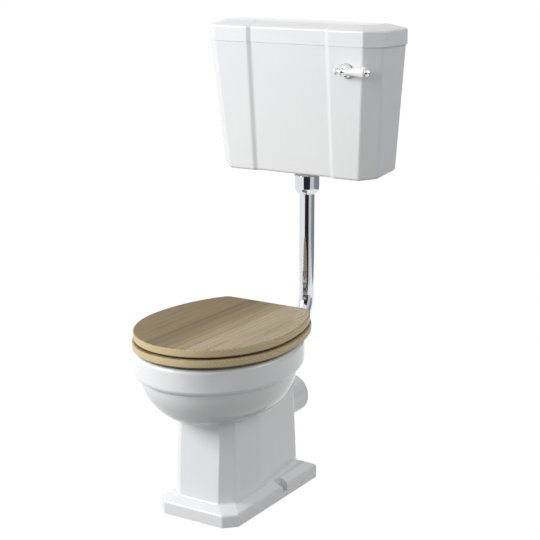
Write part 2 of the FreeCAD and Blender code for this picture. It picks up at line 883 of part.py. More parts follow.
def lever_hub():
    profile = [(0, 7.0), (1, 8.0), (3, 8.0), (4.5, 7.0), (7, 9.2), (12, hub_r), (17, 9.2), (19.5, 7.0),
               (21, 8.0), (23, 8.0), (24, 7.0)]
    bead = turned(profile, V(lever_x - hub_half, hub_y, lever_z), X)
    neck = cylinder(7.0, V(lever_x, hub_y, lever_z), Y, hub_out - 14.0)
    bores = together([cylinder(spindle_r, V(lever_x, hub_y, lever_z), Y, hub_out),
                      cylinder(tie_r, V(lever_x - 30, hub_y, lever_z), X, 60)])
    return bead.fuse(neck).cut(bores)


def lever_handle():
    swell = ((0, 0.62), (0.07, 0.67), (0.26, 0.64), (0.52, 0.72), (0.74, 0.87), (0.89, 1.0), (0.96, 0.98),
             (1.0, 0.88))
    profile = [(handle_long * along, handle_r * share) for along, share in swell]
    solid = turned(profile, V(lever_x + hub_half, hub_y, lever_z), X)
    return solid.cut(cylinder(tie_r, V(lever_x, hub_y, lever_z), X, hub_half + handle_long))


def lever_end_cap():
    profile = [(0, 9.6), (3, 9.6), (6, 8.0), (8.5, 4.6), (9.5, 1.0)]
    cap = turned(profile, V(lever_x + hub_half + handle_long, hub_y, lever_z), X)
    tie_long = hub_half - spindle_r + handle_long + 1
    tie = cylinder(tie_r, V(lever_x + spindle_r, hub_y, lever_z), X, tie_long)
    return cap.fuse(tie)


def lever_knob():
    profile = [(0, 6.4), (2, 7.6), (5, 8.2), (9, 7.2), (12, 4.5), (13, 1.5)]
    knob = turned(profile, V(lever_x - hub_half, hub_y, lever_z), -X)
    tie_start = V(lever_x - hub_half - 1, hub_y, lever_z)
    return knob.fuse(cylinder(tie_r, tie_start, X, hub_half + 1 - spindle_r))


def crank():
    tip = lever_x - crank_long - crank_tip
    near, far = pipe_y - crank_wide / 2, pipe_y + crank_wide / 2
    low, high = lever_z - crank_thick / 2, lever_z + crank_thick / 2
    boss = cylinder(crank_boss_r, V(lever_x, pipe_y - crank_boss / 2, lever_z), Y, crank_boss)
    bar = box(tip, lever_x, near, far, low, high)
    stop = box(tip - crank_stop, tip, near, far, low, high + crank_stop)
    solid = boss.multiFuse([bar, stop])
    solid.rotate(V(lever_x, pipe_y, lever_z), Y, -crank_droop)
    screw_hole = cylinder(grub_r, V(lever_x, pipe_y, lever_z), Z, spindle_r + grub_long)
    return solid.cut(lever_spindle()).cut(screw_hole)


def crank_screw():
    return cylinder(grub_r, V(lever_x, pipe_y, lever_z + spindle_r), Z, grub_long)


# Fill valve

side_x = -tank_at(valve_z, tank_half_low, tank_half_high)
valve_in = side_x + tank_wall + valve_washer
valve_out = side_x - valve_washer - valve_nut
silencer_low = tank_base + 60.0
silencer_r = valve_spout_r + 2.0
silencer_wall_gap = 5.0
spout_x = tank_wall + silencer_wall_gap + silencer_r
spout_x -= tank_at(silencer_low, tank_half_low, tank_half_high)
pivot_x = spout_x + 20.0
pivot_z = valve_z - 14.0


def valve_body():
    start = V(valve_out - valve_tail, pipe_y, valve_z)
    tail = cylinder(valve_tail_r, start, X, valve_tail)
    shank_long = valve_in + valve_nut + 3 - valve_out
    shank = cylinder(valve_shank_r, V(valve_out, pipe_y, valve_z), X, shank_long)
    head = box(valve_in + valve_nut + 1, pivot_x - 8, pipe_y - 13, pipe_y + 13, valve_z - 16, valve_z + 14)
    parts = [tail, shank, head, cylinder(valve_spout_r, V(spout_x, pipe_y, valve_z - 26), Z, 14)]
    for side in SIDES:
        ear_y = pipe_y + side * 9
        parts.append(box(pivot_x - 10, pivot_x + 6, ear_y - 3, ear_y + 3, pivot_z - 7, valve_z + 4))
    bore = cylinder(valve_bore_r, start, X, spout_x - start.x)
    spout = cylinder(valve_spout_r - 3, V(spout_x, pipe_y, valve_z - 26), Z, 26)
    return together(parts).removeSplitter().cut(together([bore, float_pin(), spout]))


def valve_ring(x0, x1):
    return tube(valve_washer_r, valve_shank_r, V(x0, pipe_y, valve_z), X, x1 - x0)


def valve_washer_out():
    return valve_ring(side_x - valve_washer, side_x + 2 * valve_washer).cut(tank_outside())


def valve_washer_in():
    return valve_ring(valve_in - 3 * valve_washer, valve_in).common(tank_hollow())


def valve_back_nut(x0):
    base = V(x0, pipe_y, valve_z)
    return hexagon(valve_nut_across, base, X, valve_nut).cut(cylinder(valve_shank_r, base, X, valve_nut))


def valve_silencer():
    base = V(spout_x, pipe_y, silencer_low)
    return tube(silencer_r, valve_spout_r, base, Z, valve_z - 16 - silencer_low)


def float_turn(shape):
    shape.rotate(V(pivot_x, pipe_y, pivot_z), Y, float_droop)
    return shape


def float_rod():
    boss_start = V(pivot_x, pipe_y - float_boss / 2, pivot_z)
    boss = cylinder(2 * float_rod_r, boss_start, Y, float_boss)
    rod = cylinder(float_rod_r, V(pivot_x, pipe_y, pivot_z), X, float_arm - float_r + float_rod_in)
    return float_turn(boss.fuse(rod).cut(cylinder(pin_r + running_gap, boss_start, Y, float_boss)))


def float_ball():
    ball = Part.makeSphere(float_r, V(pivot_x + float_arm, pipe_y, pivot_z))
    neck_start = pivot_x + float_arm - float_r - 4
    neck = cylinder(float_neck_r, V(neck_start, pipe_y, pivot_z), X, float_rod_in + 6)
    socket = cylinder(float_rod_r, V(pivot_x, pipe_y, pivot_z), X, float_arm - float_r + float_rod_in)
    return float_turn(ball.fuse(neck).cut(socket))


def float_pin():
    return cylinder(pin_r, V(pivot_x, pipe_y - pin_long / 2, pivot_z), Y, pin_long)


def pair(make, *sizes):
    return Part.Compound([make(side, *sizes) for side in SIDES])


def nodes():
    yield "pan", pan()
    yield "seat", seat()
    yield "seat_hinge_leaves", leaves(seat_leaf, seat_leaf_x, seat_low - leaf_thick)
    yield "seat_leaf_screws", Part.Compound(leaf_screws(seat_leaf_x, seat_low - leaf_thick))
    yield "seat_buffers", buffers(seat_pad_r, rim_top, buffer_height, pad_places(seat_pad_angles))
    yield "seat_lid", seat_lid()
    yield "lid_hinge_leaves", leaves(lid_leaf, lid_leaf_x, lid_low - leaf_thick)
    yield "lid_leaf_screws", Part.Compound(leaf_screws(lid_leaf_x, lid_low - leaf_thick))
    yield "lid_buffers", buffers(lid_pad_r, seat_top, seat_gap, pad_places(lid_pad_angles))
    rod_half = hinge_pitch / 2 + rod_past_pillar
    yield "hinge_rod", cylinder(hinge_rod_r, V(-rod_half, hinge_y, hinge_z), X, 2 * rod_half)
    yield "hinge_pillars", pair(hinge_pillar)
    yield "hinge_studs", pair(hinge_stud)
    yield "hinge_top_washers", pair(washer, rim_top)
    yield "hinge_under_washers", pair(washer, rim_low - hinge_washer)
    yield "hinge_wing_nuts", pair(wing_nut)
    yield "flush_pipe", flush_pipe()
    yield "flush_pipe_nut", flush_nut()
    yield "flush_pipe_seal", pipe_seal()
    yield "flush_cone", flush_cone()
    yield "cistern", tank()
    yield "cistern_lid", tank_cover()
    yield "siphon_body", siphon_body()
    yield "siphon_washer", siphon_washer()
    yield "siphon_back_nut", siphon_nut()
    yield "siphon_piston", piston()
    yield "siphon_diaphragm", diaphragm()
    yield "lift_rod", lift_rod()
    yield "lift_link", lift_link()
    yield "lever_rose", lever_rose()
    yield "lever_gasket", lever_gasket()
    yield "lever_bush", lever_bush()
    yield "lever_inner_washer", lever_inner_washer()
    yield "lever_back_nut", lever_nut()
    yield "lever_spindle", lever_spindle()
    yield "lever_hub", lever_hub()
    yield "lever_handle", lever_handle()
    yield "lever_end_cap", lever_end_cap()
    yield "lever_knob", lever_knob()
    yield "crank_arm", crank()
    yield "crank_screw", crank_screw()
    yield "fill_valve_body", valve_body()
    yield "fill_valve_outer_washer", valve_washer_out()
    yield "fill_valve_inner_washer", valve_washer_in()
    yield "fill_valve_outer_nut", valve_back_nut(valve_out)
    yield "fill_valve_inner_nut", valve_back_nut(valve_in)
    yield "fill_valve_silencer", valve_silencer()
    yield "float_arm", float_rod()
    yield "float_ball", float_ball()
    yield "float_pin", float_pin()


os.makedirs("parts", exist_ok=True)
for name, shape in nodes():
    shape.exportStep("parts/" + name + ".step")
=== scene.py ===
import bpy
import bmesh
import math
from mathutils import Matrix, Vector


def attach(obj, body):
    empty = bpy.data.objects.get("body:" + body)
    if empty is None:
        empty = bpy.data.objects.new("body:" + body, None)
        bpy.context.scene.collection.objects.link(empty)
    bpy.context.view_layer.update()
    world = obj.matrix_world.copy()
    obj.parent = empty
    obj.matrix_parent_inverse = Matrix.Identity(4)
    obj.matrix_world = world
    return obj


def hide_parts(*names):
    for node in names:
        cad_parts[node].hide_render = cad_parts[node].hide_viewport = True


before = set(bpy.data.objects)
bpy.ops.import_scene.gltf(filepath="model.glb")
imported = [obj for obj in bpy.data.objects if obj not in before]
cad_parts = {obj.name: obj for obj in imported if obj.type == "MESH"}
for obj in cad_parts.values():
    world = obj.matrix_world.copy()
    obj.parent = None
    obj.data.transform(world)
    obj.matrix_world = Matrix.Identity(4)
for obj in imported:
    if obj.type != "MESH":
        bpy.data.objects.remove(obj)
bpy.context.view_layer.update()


# The pan: foot, octagonal pedestal, bowl and rim in one casting of vitreous china.
# It is slip-cast, sprayed with a white glaze and fired, so every edge is soft and glassy.

def linear(code):
    """An sRGB hex colour as linear red, green, blue and alpha."""
    parts = [int(code[i:i + 2], 16) / 255 for i in (1, 3, 5)]
    return [p / 12.92 if p <= 0.04045 else ((p + 0.055) / 1.055) ** 2.4 for p in parts] + [1.0]


def add(tree, kind, sockets=None, **settings):
    """Adds one node: settings are its own properties, sockets hold values or other nodes' outputs."""
    node = tree.nodes.new(kind)
    for name, value in settings.items():
        setattr(node, name, value)
    for key, value in (sockets or {}).items():
        if isinstance(value, bpy.types.NodeSocket):
            tree.links.new(value, node.inputs[key])
        else:
            node.inputs[key].default_value = value
    return node


def start_material(name, **sockets):
    """A new material, its node tree and its shader, with the shader's constant values set."""
    finish = bpy.data.materials.new(name)
    finish.use_nodes = True
    tree = finish.node_tree
    shader = tree.nodes["Principled BSDF"]
    for key, value in sockets.items():
        shader.inputs[key.replace("_", " ")].default_value = value
    return finish, tree, shader


def pattern(tree, kind, size, **sockets):
    """A pattern on the object's own coordinates, its scale worked out from a real size in metres."""
    place = add(tree, "ShaderNodeTexCoord").outputs["Object"]
    return add(tree, kind, {"Vector": place, "Scale": 1 / size, **sockets})


def mottle(tree, shader, spread, tones, roughness=None, relief=None):
    """Spreads two tones over a surface, and where they are given two roughnesses by the same pattern
    and a relief, which is a pattern of heights, its strength and its depth in metres."""
    # A colour mix takes its factor at socket 0 and its two colours at 6 and 7.
    first, second = tones
    tone = add(tree, "ShaderNodeMix", {0: spread, 6: linear(first), 7: linear(second)}, data_type="RGBA")
    tree.links.new(tone.outputs[2], shader.inputs["Base Color"])
    if roughness:
        least, most = roughness
        gloss = add(tree, "ShaderNodeMapRange", {"Value": spread, "To Min": least, "To Max": most})
        tree.links.new(gloss.outputs[0], shader.inputs["Roughness"])
    if relief:
        heights, strength, depth = relief
        bump = add(tree, "ShaderNodeBump", {"Height": heights, "Strength": strength, "Distance": depth})
        tree.links.new(bump.outputs[0], shader.inputs["Normal"])


def dress(finish, *names):
    """Gives CAD nodes a finish in place of the plain one they came with."""
    for name in names:
        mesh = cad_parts[name].data
        mesh.materials.clear()
        mesh.materials.append(finish)


# Glazed vitreous china: a clear glassy coat over a white body. The glaze pools a little, so its
# tint drifts over about 120 mm, and its surface ripples faintly over about 40 mm.
def glazed_china(name, *tones):
    finish, tree, shader = start_material(name, IOR=1.52)
    pool = pattern(tree, "ShaderNodeTexNoise", size=0.120, Detail=2.0)
    ripple = pattern(tree, "ShaderNodeTexNoise", size=0.040, Detail=1.0)
    mottle(tree, shader, pool.outputs["Fac"], tones, roughness=(0.05, 0.11),
           relief=(ripple.outputs["Fac"], 0.12, 0.0006))
    return finish


white_glaze = glazed_china("glazed_vitreous_china", "#F1F2F3", "#ECEDEF")
dress(white_glaze, "pan")


# The hinge fittings: two chrome pillars bolted through the back of the rim, the rod between them,
# and underneath the studs' wing nuts on soft washers.

# Chrome plate: a mirror over polished brass, a little cloudy where it has been wiped.
chrome, tree, shader = start_material("chrome_plate", Metallic=1.0)
cloud = pattern(tree, "ShaderNodeTexNoise", size=0.015, Detail=3.0)
mottle(tree, shader, cloud.outputs["Fac"], ("#E2E4E7", "#D6D9DD"), roughness=(0.03, 0.09))

# Zinc-plated steel: bright grey, half dull, with a crystalline mottle. Its crystals are drawn at
# 1.2 mm, coarser than real ones, so that they show.
zinc, tree, shader = start_material("zinc_plated_steel", Metallic=1.0)
crystal = pattern(tree, "ShaderNodeTexVoronoi", size=0.0012)
mottle(tree, shader, crystal.outputs["Distance"], ("#C9CCCF", "#AEB2B6"), roughness=(0.22, 0.38))


# Moulded rubber: dull, with a faint bloom and a grain from the mould, drawn at 1.5 mm so that it shows.
def moulded_rubber(name, *tones):
    finish, tree, shader = start_material(name, Roughness=0.7)
    grain = pattern(tree, "ShaderNodeTexNoise", size=0.0015, Detail=3.0)
    mottle(tree, shader, grain.outputs["Fac"], tones, relief=(grain.outputs["Fac"], 0.3, 0.0003))
    return finish


black_rubber = moulded_rubber("black_rubber", "#26272A", "#34363A")
clear_rubber = moulded_rubber("clear_silicone_rubber", "#D2D3D0", "#DDDEDB")

# Moulded polypropylene: white, half matt, with the slight orange peel of a cooled moulding.
white_plastic, tree, shader = start_material("white_polypropylene", IOR=1.49)
peel = pattern(tree, "ShaderNodeTexNoise", size=0.004, Detail=2.0)
mottle(tree, shader, peel.outputs["Fac"], ("#EDEDE9", "#E4E4DF"), roughness=(0.32, 0.46),
       relief=(peel.outputs["Fac"], 0.1, 0.0003))


def turned(piece, profile, base, axis, steps=32):
    """Adds a shape turned from (along the axis, radius) points about a line from a base, in mm."""
    before = set(piece.verts)
    line = [piece.verts.new((r / 1000, 0, along / 1000)) for along, r in profile]
    edges = [piece.edges.new(pair) for pair in zip(line, line[1:])]
    bmesh.ops.spin(piece, geom=line + edges, cent=(0, 0, 0), axis=(0, 0, 1), angle=2 * math.pi,
                   steps=steps, use_merge=True)
    bmesh.ops.remove_doubles(piece, verts=[v for v in piece.verts if v not in before], dist=1e-6)
    fresh = [v for v in piece.verts if v not in before]
    swing = Vector((0, 0, 1)).rotation_difference(Vector(axis)).to_matrix()
    bmesh.ops.rotate(piece, verts=fresh, cent=(0, 0, 0), matrix=swing)
    bmesh.ops.translate(piece, verts=fresh, vec=Vector(base) / 1000)


def show(piece, node, body, finish):
    """Turns a bmesh into the smooth visible piece that stands for a CAD node."""
    bmesh.ops.recalc_face_normals(piece, faces=piece.faces)
    for face in piece.faces:
        face.smooth = True
    mesh = bpy.data.meshes.new(node + "_visual")
    piece.to_mesh(mesh)
    piece.free()
    mesh.materials.append(finish)
    obj = bpy.data.objects.new(node + "_visual", mesh)
    bpy.context.scene.collection.objects.link(obj)
    rounding = obj.modifiers.new("rounding", "SUBSURF")
    rounding.levels = rounding.render_levels = 2
    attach(obj, body)
    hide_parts(node)


up = (0, 0, 1)
down = (0, 0, -1)
right = (1, 0, 0)

# Places in mm: the rod's line, the top of the washers on the rim, and the top of the nuts under it.
hinge_x = 75
hinge_y = 117
rod_z = 436
pillar_foot_z = 409
nut_top_z = 343
eye_width = 14
wing_reach = 10
wing_drop = 12
wing_size = (0.006, 0.002, 0.008)

pillar_post = [(0, 0), (0, 13.6), (0.4, 14), (2.4, 14), (3, 13.4), (3.6, 9.6), (5.5, 7.4), (9, 6.5),
               (26, 6.5), (27, 0)]
pillar_eye = [(0, 4.6), (0, 8.4), (0.6, 9), (13.4, 9), (eye_width, 8.4), (eye_width, 4.6), (0, 4.6)]
nut_boss = [(0, 4), (0, 8.4), (0.8, 9), (8, 9), (12, 8), (14, 7), (14, 4), (0, 4)]

pillars = bmesh.new()
wings = bmesh.new()
for x in (-hinge_x, hinge_x):
    turned(pillars, pillar_post, (x, hinge_y, pillar_foot_z), up)
    turned(pillars, pillar_eye, (x - eye_width / 2, hinge_y, rod_z), right)
    turned(wings, nut_boss, (x, hinge_y, nut_top_z), down)
    for side in (-1, 1):
        wing = bmesh.ops.create_uvsphere(wings, u_segments=16, v_segments=10, radius=1)["verts"]
        middle = Vector((x + side * wing_reach, hinge_y, nut_top_z - wing_drop)) / 1000
        bmesh.ops.scale(wings, vec=wing_size, verts=wing)
        bmesh.ops.translate(wings, vec=middle, verts=wing)
show(pillars, "hinge_pillars", "pan_and_cistern", chrome)
show(wings, "hinge_wing_nuts", "pan_and_cistern", white_plastic)
dress(chrome, "hinge_rod")
dress(zinc, "hinge_studs")
dress(clear_rubber, "hinge_top_washers", "hinge_under_washers")


# The seat: a ring of solid oak staves glued edge to edge, routed and lacquered.
# Chrome leaves are screwed under its back edge, and rubber buffers keep it off the rim.

# Lacquered oak: satin, with glued staves of differing tone, given as (left edge in metres, colour), and
# the place in the log that the board was sawn from. Dark streaks and pores run along the board, the
# pores drawn at 1.2 mm, wider than real ones, so that they show. Its growth rings, 5.5 mm apart, open
# into long arches on top and show as arcs on the edges, which carry a painted highlight: their colour
# is painted paler, as where light falls on them.
def lacquered_oak(name, staves, log):
    finish, tree, shader = start_material(name, IOR=1.48, Specular_IOR_Level=0.3)
    half_board = 0.2
    ring_width = 0.0055
    ring_slant = math.radians(4)
    sway_width = (0.009, 0.0, 0.009)
    sway_scale = [1 / size for size in (0.03, 0.25, 0.03)]
    streak_scale = [1 / size for size in (0.006, 0.26, 0.006)]
    pore_scale = [1 / size for size in (0.0012, 0.03, 0.0012)]
    own_place = (-0.4, 9.0, 0.0)
    where = add(tree, "ShaderNodeTexCoord")
    place = where.outputs["Object"]

    # The staves lie side by side, each in one tone.
    axes = add(tree, "ShaderNodeSeparateXYZ", {0: place})
    across = add(tree, "ShaderNodeMapRange", {"Value": axes.outputs["X"], "From Min": -half_board,
                                              "From Max": half_board})
    board = add(tree, "ShaderNodeValToRGB", {0: across.outputs[0]})
    ramp = board.color_ramp
    ramp.interpolation = "CONSTANT"
    ramp.elements.remove(ramp.elements[1])
    ramp.elements[0].color = linear(staves[0][1])
    for stave_left, colour in staves[1:]:
        ramp.elements.new((stave_left + half_board) / (2 * half_board)).color = linear(colour)

    # A stave's tone also says where in the log it was sawn, so that no two have the same figure.
    step = add(tree, "ShaderNodeRGBToBW", {0: board.outputs[0]})
    own = add(tree, "ShaderNodeVectorMath", {0: step.outputs[0], 1: own_place}, operation="MULTIPLY")
    sawn = add(tree, "ShaderNodeVectorMath", {0: own.outputs[0], 1: log}, operation="ADD")
    cut = add(tree, "ShaderNodeVectorMath", {0: place, 1: sawn.outputs[0]}, operation="ADD")

    # Growth rings lie about the log's middle, which slants through the board and sways a little.
    # A wave pattern at a scale of 1 repeats every pi / 10.
    wander = add(tree, "ShaderNodeMapping", {"Vector": cut.outputs[0], "Scale": sway_scale})
    waver = add(tree, "ShaderNodeTexNoise", {"Vector": wander.outputs[0], "Scale": 1.0, "Detail": 3.0})
    sway = add(tree, "ShaderNodeVectorMath", {0: waver.outputs["Color"], 1: sway_width},
               operation="MULTIPLY")
    ringed = add(tree, "ShaderNodeVectorMath", {0: cut.outputs[0], 1: sway.outputs[0]}, operation="ADD")
    tilted = add(tree, "ShaderNodeMapping", {"Vector": ringed.outputs[0], "Rotation": (ring_slant, 0, 0)})
    rings = add(tree, "ShaderNodeTexWave", {"Vector": tilted.outputs[0], "Distortion": 0.4, "Detail": 2.0,
                                            "Detail Scale": 1.2, "Scale": math.pi / 10 / ring_width},
                wave_type="RINGS", rings_direction="Y", wave_profile="SAW")

    # Streaks and open pores are drawn out along the grain.
    along = add(tree, "ShaderNodeMapping", {"Vector": cut.outputs[0], "Scale": streak_scale})
    streak = add(tree, "ShaderNodeTexNoise", {"Vector": along.outputs[0], "Scale": 1.0, "Detail": 4.0,
                                              "Roughness": 0.6})
    fine = add(tree, "ShaderNodeMapping", {"Vector": cut.outputs[0], "Scale": pore_scale})
    pores = add(tree, "ShaderNodeTexNoise", {"Vector": fine.outputs[0], "Scale": 1.0, "Detail": 2.0})

    # The edges carry a painted highlight: their colour is painted paler than the faces, as if lit. The
    # streaks and pores fade there.
    facing = add(tree, "ShaderNodeSeparateXYZ", {0: where.outputs["Normal"]})
    flat = add(tree, "ShaderNodeMath", {0: facing.outputs["Z"]}, operation="ABSOLUTE")
    painted_edge_highlight = add(tree, "ShaderNodeMapRange", {"Value": flat.outputs[0], "From Min": 0.2, "From Max": 0.9,
                                            "To Min": 0.9, "To Max": 0.0})
    pale = add(tree, "ShaderNodeMix", {0: painted_edge_highlight.outputs[0], 6: board.outputs[0], 7: linear("#DCC99F")},
               data_type="RGBA")

    # Dark staves have the heavier streaks. Rings and then pores are laid over them.
    strong = add(tree, "ShaderNodeMapRange", {"Value": step.outputs[0], "From Min": 0.17, "From Max": 0.22,
                                              "To Min": 1.0, "To Max": 0.55})
    on_top = add(tree, "ShaderNodeMath", {0: strong.outputs[0], 1: flat.outputs[0]}, operation="MULTIPLY")
    heavy = add(tree, "ShaderNodeMapRange", {"Value": streak.outputs["Fac"], "From Min": 0.46,
                                             "From Max": 0.74, "To Min": 0.0, "To Max": on_top.outputs[0]})
    streaked = add(tree, "ShaderNodeMix", {0: heavy.outputs[0], 6: pale.outputs[2], 7: linear("#66553A")},
                   data_type="RGBA")
    late = add(tree, "ShaderNodeMapRange", {"Value": rings.outputs["Fac"], "From Min": 0.55,
                                            "From Max": 1.0, "To Min": 0.0, "To Max": 0.24})
    ring_tone = add(tree, "ShaderNodeMix", {0: late.outputs[0], 6: streaked.outputs[2],
                                            7: linear("#725F40")}, data_type="RGBA")
    open_pore = add(tree, "ShaderNodeMapRange", {"Value": pores.outputs["Fac"], "From Min": 0.56,
                                                 "From Max": 0.75, "To Min": 0.0, "To Max": 0.4})
    top_pore = add(tree, "ShaderNodeMath", {0: open_pore.outputs[0], 1: flat.outputs[0]},
                   operation="MULTIPLY")
    colour = add(tree, "ShaderNodeMix", {0: top_pore.outputs[0], 6: ring_tone.outputs[2],
                                         7: linear("#6E5B3D")}, data_type="RGBA")
    tree.links.new(colour.outputs[2], shader.inputs["Base Color"])

    # The lacquer is satin, duller at the pores, and follows them in a faint relief.
    satin = add(tree, "ShaderNodeMapRange", {"Value": pores.outputs["Fac"], "To Min": 0.36,
                                             "To Max": 0.52})
    tree.links.new(satin.outputs[0], shader.inputs["Roughness"])
    bump = add(tree, "ShaderNodeBump", {"Height": pores.outputs["Fac"], "Strength": 0.15,
                                        "Distance": 0.0002})
    tree.links.new(bump.outputs[0], shader.inputs["Normal"])
    return finish


def four_buffers(node, body, places, board_z, profile):
    """Rubber buffers under a board, in pairs to either side of its middle."""
    buffers = bmesh.new()
    for x, y in places:
        for side in (-1, 1):
            turned(buffers, profile, (side * x, y, board_z), down)
    show(buffers, node, body, clear_rubber)


seat_staves = ((-0.20, "#A08C68"), (-0.095, "#9A8560"), (-0.030, "#AC9A76"), (0.060, "#9D8964"),
               (0.125, "#A8956F"))
seat_log = (0.45, 0.4, -0.34)
seat_bottom_z = 415
seat_buffer_places = ((107.1, -253.2), (137.3, -34.4))
seat_buffer = [(0, 0), (0, 8.8), (0.3, 9), (4.5, 8.8), (7, 7.4), (8, 4.5), (8, 2.5), (6.5, 2), (6.5, 0)]

dress(lacquered_oak("lacquered_oak_seat", seat_staves, seat_log), "seat")
dress(chrome, "seat_hinge_leaves")
dress(zinc, "seat_leaf_screws")
four_buffers("seat_buffers", "seat", seat_buffer_places, seat_bottom_z, seat_buffer)


# The lid: a plain board of the same oak, two wide staves with narrow ones between. It lies on the
# seat on four small buffers and turns on its own pair of leaves, between those of the seat and the
# pillars.

lid_staves = ((-0.20, "#87724B"), (-0.054, "#635338"), (-0.046, "#7A6842"), (-0.020, "#8B7752"),
              (0.010, "#99855F"), (0.026, "#A6936E"), (0.052, "#816F4D"), (0.054, "#B8A889"))
lid_log = (0.42, 1.3, -0.32)
lid_bottom_z = 438
lid_buffer_places = ((116.1, -241.8), (142.4, -52.2))
lid_buffer = [(0, 0), (0, 6.8), (0.2, 7), (2.4, 6.8), (3.6, 5.4), (4, 3), (4, 0)]

dress(lacquered_oak("lacquered_oak_lid", lid_staves, lid_log), "seat_lid")
dress(chrome, "lid_hinge_leaves")
dress(zinc, "lid_leaf_screws")
four_buffers("lid_buffers", "seat_lid", lid_buffer_places, lid_bottom_z, lid_buffer)


# The cistern and its loose lid: two more castings in the same glazed china. The cistern is
# screwed to the wall from inside, and the lid sits over its edge on a shallow lip.

dress(white_glaze, "cistern", "cistern_lid")


# The siphon inside: a moulded bell and leg, clamped through the cistern's floor by a back nut, with
# a plate and a thin sheet that the lever lifts on a wire to start the flush.

# Polyethylene sheet: thin, milky and limp.
film, tree, shader = start_material("polyethylene_sheet", Roughness=0.4, Transmission_Weight=0.25)
haze = pattern(tree, "ShaderNodeTexNoise", size=0.006)
mottle(tree, shader, haze.outputs["Fac"], ("#C9D2D6", "#DCE3E6"))

dress(white_plastic, "siphon_body", "siphon_back_nut", "siphon_piston")
dress(film, "siphon_diaphragm")
dress(black_rubber, "siphon_washer")
dress(zinc, "lift_rod", "lift_link")


# The flush pipe: bent brass tube, polished and chromed, held under the cistern by a deep cup nut
# on a rubber ring, and pushed into a rubber cone on the pan's horn.

pipe_y = 287
cup_foot_z = 703
cup_nut = [(0, 19.4), (0, 21.4), (0.6, 22.4), (3, 25.4), (7, 28.4), (12, 30.4), (17, 31), (32, 31),
           (47.6, 31), (48.6, 30.6), (49, 29.6), (49, 24.2), (48.6, 23.9), (9.4, 23.9), (9, 23.4),
           (9, 19.8), (8.6, 19.4), (0, 19.4)]

cup = bmesh.new()
turned(cup, cup_nut, (0, pipe_y, cup_foot_z), up, steps=48)
show(cup, "flush_pipe_nut", "pan_and_cistern", chrome)
dress(chrome, "flush_pipe")
dress(black_rubber, "flush_pipe_seal", "flush_cone")


# The flush lever: a chrome rose and hub outside, a white china handle and knob held by a tie rod,
# and inside the cistern a brass crank on the end of the spindle.

# Turned brass: yellow, a little dull, with a light tarnish in small clouds.
brass, tree, shader = start_material("turned_brass", Metallic=1.0)
tarnish = pattern(tree, "ShaderNodeTexNoise", size=0.008, Detail=4.0)
mottle(tree, shader, tarnish.outputs["Fac"], ("#D2B067", "#A88548"), roughness=(0.18, 0.36))

# Places in mm: the middle of the hub, and the cistern's front face that carries the rose.
hub_x = 164
hub_y = 164.4
hub_z = 1032
hub_half = 12
front_face_y = 184.4
end_cap_x = 230
left = (-1, 0, 0)
to_the_front = (0, -1, 0)
to_the_wall = (0, 1, 0)

rose_turning = [(0, 5.1), (0, 17.6), (0.4, 18), (2.4, 18), (3.2, 17.4), (5, 16), (7, 13.2), (8.4, 10),
                (9, 7.4), (9, 5.1), (0, 5.1)]
hub_turning = [(0, 0), (0, 6.8), (0.5, 7.8), (2, 8.3), (3.5, 7.8), (4.5, 7), (5.5, 7.4), (8, 9.4),
               (12, 10.2), (16, 9.4), (18.5, 7.4), (19.5, 7), (20.5, 7.8), (22, 8.3), (23.5, 7.8),
               (24, 6.8), (24, 0)]
hub_neck = [(0, 0), (2, 7), (8, 7), (9.6, 7.6), (10.4, 7.4), (10.6, 0)]
handle_turning = [(0, 0), (0, 8.2), (0.6, 8.8), (4, 9.3), (14, 9), (28, 10.1), (40, 12.2), (47, 13.9),
                  (51, 13.8), (53.4, 12.6), (54.2, 10.8), (54.2, 0)]
cap_turning = [(0, 0), (0, 9.4), (0.4, 9.8), (2.6, 9.6), (5.4, 8.4), (8, 5.4), (9.4, 2), (9.5, 0)]
knob_turning = [(0, 0), (0, 6), (0.8, 7), (2.4, 8), (4.5, 8.2), (6.5, 7.2), (8.4, 4.8), (9.2, 2), (9.4, 0)]

# The handle and knob get a whiter copy of the glaze: partly a whiter china, and partly painted light that
# makes up for the dimmer light on these small cylinders.
brightened_handle_glaze = glazed_china("glazed_handle_china", "#FCFCFB", "#F7F7F6")
rose, hub, handle, cap, knob = [bmesh.new() for piece in range(5)]
turned(rose, rose_turning, (hub_x, front_face_y, hub_z), to_the_front)
turned(hub, hub_turning, (hub_x - hub_half, hub_y, hub_z), right)
turned(hub, hub_neck, (hub_x, hub_y, hub_z), to_the_wall)
turned(handle, handle_turning, (hub_x + hub_half, hub_y, hub_z), right)
turned(cap, cap_turning, (end_cap_x, hub_y, hub_z), right)
turned(knob, knob_turning, (hub_x - hub_half, hub_y, hub_z), left)
show(rose, "lever_rose", "pan_and_cistern", chrome)
show(hub, "lever_hub", "flush_lever", chrome)
show(handle, "lever_handle", "flush_lever", brightened_handle_glaze)
show(cap, "lever_end_cap", "flush_lever", chrome)
show(knob, "lever_knob", "flush_lever", brightened_handle_glaze)
dress(black_rubber, "lever_gasket", "lever_inner_washer")
dress(brass, "lever_bush", "lever_back_nut", "lever_spindle", "crank_arm")
dress(zinc, "crank_screw")


# The fill valve: a brass body through the cistern's left side, with a ball float on an arm that
# shuts it, and a plastic tube that carries the water down quietly.

dress(brass, "fill_valve_body", "float_arm", "float_pin")
dress(white_plastic, "fill_valve_outer_nut", "fill_valve_inner_nut", "fill_valve_silencer", "float_ball")
dress(black_rubber, "fill_valve_outer_washer", "fill_valve_inner_washer")


# The studio: a white floor that runs out to a white surround, a large soft light at the front left
# and a weak one at the back right. Cards that only glossy surfaces see stand around it: a dark one at
# the front, a pale and a grey one at the right, and a low grey one behind.

scene = bpy.context.scene
scene.view_settings.view_transform = "Standard"


